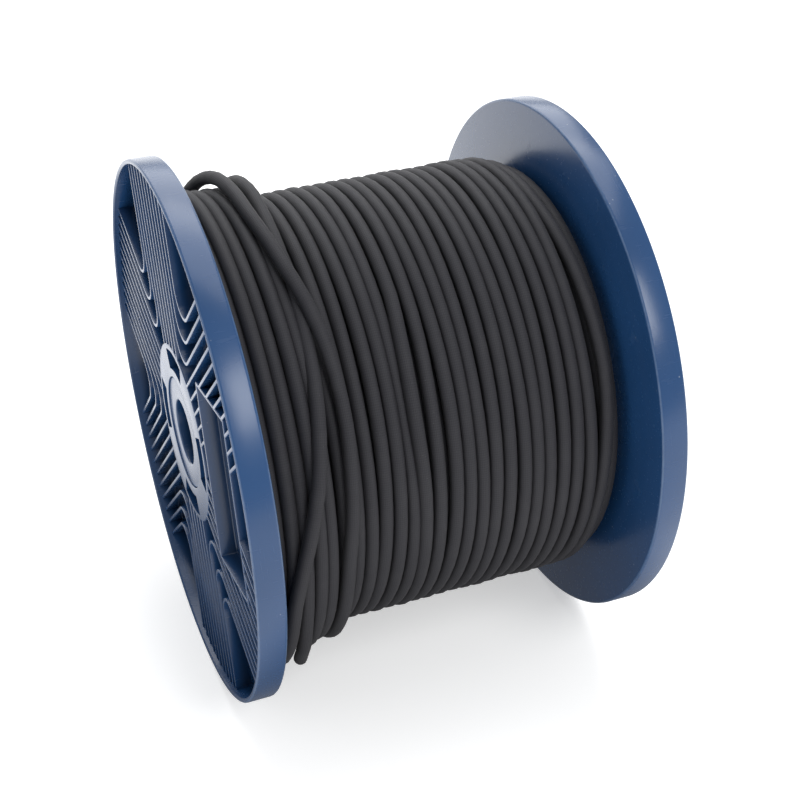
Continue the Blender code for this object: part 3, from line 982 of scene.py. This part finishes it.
@dataclass
class Cord:
    """The wound cord: three full layers, loose last turns and a hanging cut end. Lengths are in metres.

    A station is (turn angle in degrees, place along the axis, radius). At 0 degrees it is at the front (-Y)
    and at 90 on top (+Z), and the angle falls as the cord is wound. The phase is where the top layer begins,
    and the other layers' angles follow from it.
    """

    diameter: float = 0.0074
    pitch: float = 0.00756
    bottom_radius: float = 0.1040
    layer_rise: float = 0.00655
    near_stop: float = -0.0960
    far_stop: float = 0.0922
    anchor: float = 0.0846
    phase_angle: float = 36.7
    phase_along: float = 0.0844
    far_climb: float = 460.0
    near_climb: float = 60.0
    slot_angle: float = 145.0
    drum_radius: float = 0.100
    rim_clearance: float = 0.098
    edge_room: float = 0.012
    waver: float = 0.00042
    lift: float = 0.00022
    calm_span: float = 400.0
    cut_edge: tuple[tuple[float, float], ...] = ((0.00015, 0.96), (0.0003, 0.82))
    cut_push: float = 0.0002
    steps_per_turn: int = 64
    sides: int = 12

    def layer(self, angle: float, start: float, stop: float, radius: float) -> list[Station]:
        """Lay out a layer's stations, about one a turn.

        Args:
            angle: the turn angle at which it starts.
            start: where along the axis it starts.
            stop: where along the axis it ends.
            radius: its radius.

        Returns:
            The stations.
        """
        turns = abs(stop - start) / self.pitch
        count = math.ceil(turns)
        return [
            (angle - 360.0 * turns * index / count, start + (stop - start) * index / count, radius)
            for index in range(count + 1)
        ]

    def stations(self) -> list[Station]:
        """Lay out the whole cord, from its inner end to its cut end.

        Returns:
            The stations.
        """
        first, second, third = (self.bottom_radius + self.layer_rise * index for index in range(3))
        second_turns = (self.far_stop - self.near_stop) / self.pitch
        first_turns = (self.anchor - self.near_stop) / self.pitch
        second_start = self.phase_angle + self.far_climb + 360.0 * second_turns
        first_start = second_start + self.near_climb + 360.0 * first_turns
        # The first layer starts at the drum's slot, and its turns take up the angle that is left over.
        slot_start = round((first_start - self.slot_angle) / 360.0) * 360.0 + self.slot_angle
        slack = first_start - slot_start
        lower = self.layer(slot_start, self.anchor, self.near_stop, first)
        lower = [
            (angle + slack * index / (len(lower) - 1), along, radius)
            for index, (angle, along, radius) in enumerate(lower)
        ]
        middle = self.layer(second_start, self.near_stop, self.far_stop, second)
        top = self.layer(self.phase_angle - 360.0, self.phase_along - self.pitch, self.near_stop, third)
        last = self.phase_angle - 360.0 * (self.phase_along - self.near_stop) / self.pitch
        inner = self.inner_end(slot_start, first)
        return inner + lower + middle + self.far_turn(second, third) + top + self.loose_turns(last)

    def inner_end(self, start: float, first: float) -> list[Station]:
        """Lay out the inner end, which comes up through the drum's slot.

        Args:
            start: the turn angle at which the first layer starts.
            first: the first layer's radius.

        Returns:
            The stations.
        """
        under = self.drum_radius - self.diameter / 2.0
        # angle before the start and height over the drum's inside, in degrees and millimetres
        rise = ((65.0, -15.0), (53.0, -9.5), (43.0, -4.0), (35.0, -0.8), (31.0, 0.7), (22.0, 6.6))
        climb = [(start + angle, self.anchor, under + height / MILLIMETRES) for angle, height in rise]
        return [*climb, (start + 12.0, self.anchor, first)]

    def far_turn(self, second: float, third: float) -> list[Station]:
        """Lay out the sunk, wavy turn at the far flange, which leads up to the top layer.

        Args:
            second: the second layer's radius.
            third: the top layer's radius.

        Returns:
            The stations.
        """
        # angle from the phase, place along the axis and height over the layer, in degrees and millimetres
        wave = (
            (230, 87.6, -4.2), (113, 85.0, -3.4), (49, 84.2, -1.8), (17, 86.8, -1.2), (-7, 88.2, -1.2),
            (-33, 85.2, -1.0), (-56, 83.0, -0.6), (-127, 81.2, 0.0), (-217, 79.6, 0.0),
        )
        start = (self.phase_angle + 310.0, 0.0912, second + 0.0008)
        rest = [
            (self.phase_angle + angle, along / MILLIMETRES, third + height / MILLIMETRES)
            for angle, along, height in wave
        ]
        return [start, *rest]

    def loose_turns(self, last: float) -> list[Station]:
        """Lay out the turns that lie loose on the full layers, and the cut end.

        Args:
            last: the turn angle at which the top layer meets the near flange.

        Returns:
            The stations.
        """
        base = round((last - 86.0) / 360.0) * 360.0
        # turn, angle, place along the axis and radius, in degrees and millimetres
        route = (
            # up beside the near flange, and the first two loose turns
            (0, 40, -95.9, 120.0), (0, 0, -95.8, 123.2), (0, -90, -95.8, 124.0), (0, -180, -95.7, 124.0),
            (1, 90, -95.6, 124.0), (1, 0, -95.6, 124.0), (1, -90, -95.2, 124.2), (1, -150, -92.0, 125.6),
            (1, -200, -89.2, 126.4), (2, 90, -88.8, 126.3), (2, 0, -88.9, 126.3), (2, -90, -87.8, 126.4),
            # over a gap, which the cut end's turn fills later
            (2, -135, -82.0, 127.4), (2, -175, -76.6, 126.8), (3, 117, -75.4, 124.4), (3, 81, -74.8, 125.6),
            (3, 20, -74.8, 126.4), (3, -60, -74.4, 126.4), (3, -120, -72.4, 125.6), (3, -190, -69.4, 124.0),
            (4, 110, -68.6, 123.8), (4, 50, -68.9, 123.7), (4, -45, -68.0, 123.8), (4, -100, -66.4, 124.0),
            # the turn that runs under the next one and then crosses back to the flange
            (4, -180, -61.0, 125.0), (5, 135, -58.6, 127.4), (5, 117, -58.4, 129.2), (5, 100, -58.9, 128.0),
            (5, 87, -59.8, 125.2), (5, 70, -61.2, 123.9), (5, 50, -63.8, 124.8), (5, 43, -65.2, 126.4),
            (5, 33, -68.4, 130.2), (5, 22, -72.8, 132.8), (5, 12, -79.0, 133.5), (5, 3, -85.3, 133.6),
            (5, -5, -89.2, 133.3), (5, -13, -91.2, 133.0), (5, -35, -91.6, 132.8), (5, -90, -91.4, 132.6),
            # the turn that stands off the winding at the top and lies outermost at the front
            (5, -180, -88.6, 133.0), (6, 145, -81.6, 133.6), (6, 128, -75.0, 133.9), (6, 112, -71.6, 133.4),
            (6, 100, -71.0, 132.6), (6, 87, -70.6, 132.0), (6, 72, -66.4, 131.6), (6, 63, -61.8, 130.8),
            (6, 55, -57.8, 128.8), (6, 45, -54.9, 125.8), (6, 34, -53.9, 124.4), (6, 14, -56.4, 124.2),
            (6, -8, -60.4, 124.2), (6, -30, -60.2, 124.6), (6, -50, -58.6, 124.8), (6, -90, -60.4, 125.6),
            # the cut end's turn: over the others at the back, down into the gap and off the winding
            (6, -115, -66.0, 131.0), (6, -140, -71.4, 133.6), (6, -165, -76.6, 133.2),
            (6, -190, -80.4, 130.0), (6, -212, -81.8, 126.6), (7, 130, -82.0, 124.4),
            (7, 90, -82.0, 124.5), (7, 50, -81.8, 124.5),
            (7, 20, -82.0, 124.9), (7, 3, -82.4, 126.2), (7, -8, -82.8, 127.6), (7, -18, -82.9, 129.2),
            (7, -30, -82.2, 131.8), (7, -42, -81.0, 134.8),
        )
        return [
            (base - 360.0 * turn + angle, along / MILLIMETRES, radius / MILLIMETRES)
            for turn, angle, along, radius in route
        ]

    def strays(self, angle: np.ndarray) -> tuple[np.ndarray, np.ndarray]:
        """Work out how far three turns of the top layer stray, one of them riding up on the next.

        Args:
            angle: turn angles in degrees.

        Returns:
            The offsets along the axis and outwards.
        """
        along = np.zeros_like(angle)
        outwards = np.zeros_like(angle)
        # the turn, and its angle, shift along the axis and rise at each place, in degrees and millimetres
        places = (
            (13, ((120, 0, 0), (86, -0.2, 0.2), (60, -0.4, 0.9), (45, -2.6, 2.6), (30, -3.6, 3.2),
                  (4, -1.6, 1.6), (-29, -0.8, 0.6), (-110, 0, 0))),
            (12, ((120, 0, 0), (52, -0.3, 0), (28, -1.1, 0), (0, -0.6, 0), (-110, 0, 0))),
            (14, ((170, 0, 0), (60, -0.3, -0.4), (32, -1.2, -1.4), (0, -0.5, -0.4), (-110, 0, 0))),
        )
        for turn, stations in places:
            where = np.array([360.0 * turn - at for at, _, _ in stations], dtype=float)
            inside = (-angle >= where[0]) & (-angle <= where[-1])
            for values, column in ((along, 1), (outwards, 2)):
                offsets = np.array([station[column] / MILLIMETRES for station in stations], dtype=float)
                values[inside] += eased(where, offsets, -angle[inside])
        return along, outwards

    def centreline(self) -> np.ndarray:
        """Work out the cord's middle line, with the small unevenness of winding by hand.

        Returns:
            Its points, evenly spaced by angle.
        """
        stations = np.array(self.stations())
        falling = -stations[:, 0]
        where = np.arange(falling[0], falling[-1], 360.0 / self.steps_per_turn)
        where = np.append(where[:-1], falling[-1])
        along = eased(falling, stations[:, 1], where)
        radius = eased(falling, stations[:, 2], where)
        stray_along, stray_out = self.strays(-where)
        angle = np.radians(-where)
        from_start = np.clip((where - falling[0]) / self.calm_span, 0.0, 1.0)
        to_end = np.clip((falling[-1] - where) / self.calm_span, 0.0, 1.0)
        wave = np.sin(2.0 * angle + along * 190.0) + 0.6 * np.sin(3.0 * angle - along * 310.0 + 1.3)
        heave = np.sin(angle + where * 0.0131) + 0.7 * np.sin(3.0 * angle + where * 0.0207 + 0.4)
        room = self.rim_clearance - self.diameter / 2.0 - np.abs(along)
        free = np.clip(room / self.edge_room, 0.0, 1.0)
        along = along + stray_along + self.waver * wave * from_start * to_end * free
        radius = radius + stray_out + self.lift * heave * from_start * to_end
        return np.stack([along, -radius * np.cos(angle), radius * np.sin(angle)], axis=1)

    def points(self, line: np.ndarray) -> np.ndarray:
        """Set rings of points round the middle line, and a point in the middle of each end.

        Args:
            line: the middle line.

        Returns:
            The points, ring by ring, and then the middle of the inner end and of the cut end.
        """
        tangent = np.gradient(line, axis=0)
        tangent /= np.linalg.norm(tangent, axis=1)[:, None]
        outwards = line * (0.0, 1.0, 1.0)
        outwards -= tangent * np.sum(outwards * tangent, axis=1)[:, None]
        outwards /= np.linalg.norm(outwards, axis=1)[:, None]
        sideways = np.cross(tangent, outwards)
        # A ring's seam lies inwards, so its outer face has the middle of the UV map.
        turn = np.arange(self.sides) * math.tau / self.sides + math.pi
        ring = np.cos(turn)[None, :, None] * outwards[:, None, :]
        ring = ring + np.sin(turn)[None, :, None] * sideways[:, None, :]
        radius = self.diameter / 2.0
        body = (line[:, None, :] + ring * radius).reshape(-1, 3)
        # The cut end is drawn in a little before its flat face.
        tip, way = line[-1], tangent[-1]
        ends = [tip + way * push + ring[-1] * (radius * share) for push, share in self.cut_edge]
        middles = [line[0], tip + way * self.cut_push]
        return np.concatenate([body, *ends, np.array(middles)])

    def facets(self, marks: np.ndarray) -> tuple[list[tuple[int, ...]], np.ndarray]:
        """Join the rings with faces, close both ends and unwrap the cord along its length.

        Args:
            marks: the length at each ring.

        Returns:
            The faces, and the UV map's points in the order of their corners.
        """
        rings = len(marks)
        faces: list[tuple[int, ...]] = []
        unwrapped = []
        for index in range(rings - 1):
            here = index * self.sides
            there = here + self.sides
            start, end = marks[index], marks[index + 1]
            for side in range(self.sides):
                following = (side + 1) % self.sides
                faces.append((here + side, here + following, there + following, there + side))
                low = side / self.sides
                high = (side + 1) / self.sides
                unwrapped += [(start, low), (start, high), (end, high), (end, low)]
        last = (rings - 1) * self.sides
        inner_middle = rings * self.sides
        cap = [(marks[-1], 0.1), (marks[-1], 0.2), (marks[-1] + 0.001, 0.15)]
        for side in range(self.sides):
            following = (side + 1) % self.sides
            faces.append((following, side, inner_middle))
            faces.append((last + side, last + following, inner_middle + 1))
            unwrapped += cap + cap
        return faces, np.array(unwrapped, dtype=np.float32)

    def build(self) -> tuple[bpy.types.Object, np.ndarray, float]:
        """Make the cord as one tube along its middle line.

        Returns:
            The cord, its middle line and its length.
        """
        line = self.centreline()
        steps = np.linalg.norm(np.diff(line, axis=0), axis=1)
        travelled = np.concatenate([[0.0], np.cumsum(steps)])
        length = float(travelled[-1])
        # The cut end's two rings are marked past the length, where the finish shows the core.
        faces, unwrapped = self.facets(np.concatenate([travelled, [length + 0.001, length + 0.003]]))
        data = bpy.data.meshes.new("wound_cord")
        data.from_pydata(self.points(line).tolist(), [], faces)
        layer = data.uv_layers.new(name="route")
        layer.data.foreach_set("uv", unwrapped.ravel())
        cord = bpy.data.objects.new("wound_cord", data)
        bpy.context.scene.collection.objects.link(cord)
        activate(cord)
        bpy.ops.object.mode_set(mode="EDIT")
        bpy.ops.mesh.select_all(action="SELECT")
        bpy.ops.mesh.normals_make_consistent(inside=False)
        bpy.ops.object.mode_set(mode="OBJECT")
        shade(cord, 60.0)
        return cord, line, length

    def dress(self, cord: bpy.types.Object, line: np.ndarray, length: float) -> None:
        """Args:
            cord: the cord.
            line: its middle line, which is not used.
            length: its length.
        """
        yarn = (0.0062, 0.0061, 0.0080, 1.0)
        crown = (0.0270, 0.0265, 0.0325, 1.0)
        braid = BraidedCord("black_braid", yarn, crown, carriers=12, lay=0.030, length=length)
        dress(cord, braid.make())
        settle(cord, "cord_black", "cord_winding", "cord_loose_turns", "cord_tail", "cord_inner_end")
        LOG.info("cord length %.2f m", length)


# ------------------------------------------------------------- inner CAD pieces


@dataclass
class InnerPieces:
    """The drum and the core tube, whose CAD shapes are kept and only get a finish."""

    nodes: tuple[str, ...] = ("barrel", "core_tube")

    def dress(self, finish: bpy.types.Material) -> None:
        """Give both pieces the satin plastic of the unseen mouldings.

        Args:
            finish: the plastic.
        """
        for node in self.nodes:
            piece = bpy.data.objects[node]
            for slot in piece.material_slots:
                slot.material = finish
            LOG.info("%s: CAD shape with a new finish", node)


# ---------------------------------------------------------------------- studio


@dataclass(frozen=True)
class Softbox:
    """A square softbox that faces the reel.

    Args:
        name: the light's name.
        azimuth: its angle round the reel, as the camera's, in degrees.
        elevation: its height as an angle, in degrees.
        reach: its distance in metres.
        size: its side in metres.
        watts: its power.
    """

    name: str
    azimuth: float
    elevation: float
    reach: float
    size: float
    watts: float


@dataclass
class Studio:
    """A pale floor, soft light all round and the camera. Lengths are in metres and angles in degrees."""

    azimuth: float = -21.271
    elevation: float = 35.003
    distance: float = 0.79260
    target: tuple[float, float, float] = (0.0, -0.03969, 0.01914)
    lens: float = 65.76
    floor_size: float = 60.0
    floor_gap: float = 0.0004
    floor_glow: float = 1.9
    floor_shown_glow: float = 0.42
    shade_inner: float = 0.15
    shade_outer: float = 0.29
    shade_least: float = 0.12
    sky: float = 0.55
    softboxes: tuple[Softbox, ...] = (
        Softbox("front_softbox", 16.0, 43.0, 1.5, 0.62, 9.5),
        Softbox("overhead_softbox", 150.0, 68.0, 1.8, 1.4, 16.0),
        Softbox("left_softbox", -75.0, 30.0, 1.8, 1.0, 4.0),
        Softbox("back_softbox", 172.0, 38.0, 2.0, 1.8, 24.0),
    )

    def back(self, azimuth: float, elevation: float) -> Vector:
        """Return the direction from the reel towards a place.

        Args:
            azimuth: its angle round the reel, from the front, in degrees.
            elevation: its height as an angle, in degrees.

        Returns:
            The direction, as a unit vector.
        """
        turn = math.radians(azimuth)
        tilt = math.radians(elevation)
        return Vector((math.sin(turn) * math.cos(tilt), -math.cos(turn) * math.cos(tilt), math.sin(tilt)))

    def camera(self) -> None:
        """Make the camera and look at the target."""
        data = bpy.data.cameras.new("view")
        data.lens = self.lens
        data.sensor_width = 36.0
        data.clip_start = 0.01
        data.clip_end = 50.0
        camera = bpy.data.objects.new("view", data)
        back = self.back(self.azimuth, self.elevation)
        camera.location = Vector(self.target) + back * self.distance
        camera.rotation_euler = (-back).to_track_quat("-Z", "Y").to_euler()
        bpy.context.scene.collection.objects.link(camera)
        bpy.context.scene.camera = camera

    def floor(self) -> None:
        """Make the pale floor, which glows softly in reflections as a lit table does."""
        deselect()
        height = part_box("near_flange")[0].z - self.floor_gap
        bpy.ops.mesh.primitive_plane_add(size=self.floor_size, location=(0.0, 0.0, height))
        floor = bpy.context.object
        floor.name = "floor"
        graph = Graph("pale_floor")
        graph.feed(Base_Color=(0.82, 0.82, 0.82, 1.0), Roughness=0.9, Specular_IOR_Level=0.0)
        graph.feed(Emission_Color=WHITE, Emission_Strength=self.floor_shown_glow)
        seen = Signal(graph, graph.node("ShaderNodeLightPath", {}, {}).outputs["Is Camera Ray"])
        # The reel shades the table beneath it, which the glow in reflections has to follow.
        away = graph.node("ShaderNodeVectorMath", {"operation": "LENGTH"}, {0: graph.place()})
        clear = Signal(graph, away.outputs["Value"]).step(self.shade_inner, self.shade_outer)
        strength = (clear * (1.0 - self.shade_least) + self.shade_least) * self.floor_glow
        glow = graph.node("ShaderNodeEmission", {}, {"Color": WHITE, "Strength": strength})
        reflected, shown = Signal(graph, glow.outputs[0]), Signal(graph, graph.shader.outputs[0])
        mixed = graph.node("ShaderNodeMixShader", {}, {0: seen, 1: reflected, 2: shown})
        graph.tree.links.new(mixed.outputs[0], graph.tree.nodes["Material Output"].inputs["Surface"])
        floor.data.materials.append(graph.material)

    def hang(self, box: Softbox) -> None:
        """Hang a softbox.

        Args:
            box: the softbox.
        """
        data = bpy.data.lights.new(box.name, "AREA")
        data.shape = "SQUARE"
        data.size = box.size
        data.energy = box.watts
        light = bpy.data.objects.new(box.name, data)
        back = self.back(box.azimuth, box.elevation)
        light.location = back * box.reach
        light.rotation_euler = (-back).to_track_quat("-Z", "Y").to_euler()
        bpy.context.scene.collection.objects.link(light)

    def light(self) -> None:
        """Light the reel from a pale room and from the softboxes."""
        world = bpy.data.worlds.new("pale_room")
        world.use_nodes = True
        background = world.node_tree.nodes["Background"]
        background.inputs["Color"].default_value = (0.96, 0.98, 1.0, 1.0)
        background.inputs["Strength"].default_value = self.sky
        bpy.context.scene.world = world
        for box in self.softboxes:
            self.hang(box)
        bpy.context.scene.view_settings.view_transform = "Standard"

    def build(self) -> None:
        """Set up the camera, the floor and the lights."""
        self.camera()
        self.floor()
        self.light()


# ------------------------------------------------------------------------ main


def main() -> None:
    """Build the reel in order: studio, cord, flanges, bushes, inner pieces."""
    logging.basicConfig(level=logging.INFO, format="%(name)s: %(message)s")
    Studio().build()
    cord = Cord()
    cord.dress(*cord.build())
    blue = (0.0125, 0.0520, 0.1450, 1.0)
    pale = (0.20, 0.28, 0.40, 1.0)
    # roughness, then the radius and the brim of the corners with wear and a painted highlight, and the dust
    moulded = MouldedPlastic("moulded_blue", blue, pale, 0.26, 0.1497, 0.1150, 0.35).make()
    satin = MouldedPlastic("satin_blue", blue, pale, 0.36, 0.0997, 0.1150, 0.2).make()
    turned = MouldedPlastic("bush_blue", blue, pale, 0.28, 0.0300, 0.1110, 0.3).make()
    for end in End:
        flange = Flange(end)
        flange.dress(flange.build(), moulded)
        bush = Bush(end)
        bush.dress(bush.build(), turned)
    InnerPieces().dress(satin)


if __name__ == "__main__":
    main()
